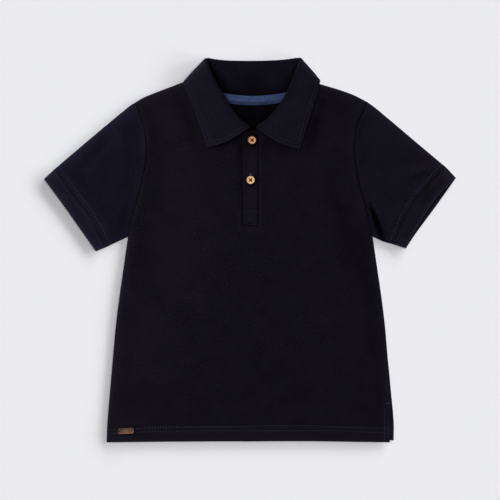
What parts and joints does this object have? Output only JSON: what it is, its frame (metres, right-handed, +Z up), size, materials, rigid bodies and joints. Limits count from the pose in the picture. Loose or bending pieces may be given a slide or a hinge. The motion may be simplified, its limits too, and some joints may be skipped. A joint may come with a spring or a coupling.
{
  "type": "child's short-sleeved polo shirt, laid flat",
  "caption": "Short-sleeved pique polo shirt with a fold-down collar, a buttoned placket, banded cuffs and side vents, laid flat on its back.",
  "frame": {"origin": "on the surface that the shirt lies on, below the middle of its box", "axes": "+X towards the wearer's left sleeve, +Y from the hem to the collar, +Z up from the surface, through the back and then the front"},
  "size_m": [0.5344, 0.4994, 0.0125],
  "materials": {
    "pique": "dark navy cotton pique knit, matt",
    "collar_pique": "dark navy cotton pique knit, folded double, matt",
    "neck_tape": "mid-blue twill tape",
    "button": "light tan with a wood-like grain, satin",
    "hem_plate": "bare brown plate, matt"
  },
  "bodies": {
    "root": {"front_panel": "pique", "back_panel": "pique", "sleeve_left": "pique", "sleeve_right": "pique", "cuff_left": "pique", "cuff_right": "pique", "collar": "collar_pique", "placket_top": "pique", "placket_under": "pique", "neck_tape": "neck_tape", "button_upper": "button", "button_lower": "button", "hem_label": "hem_plate"}
  },
  "joints": []
}
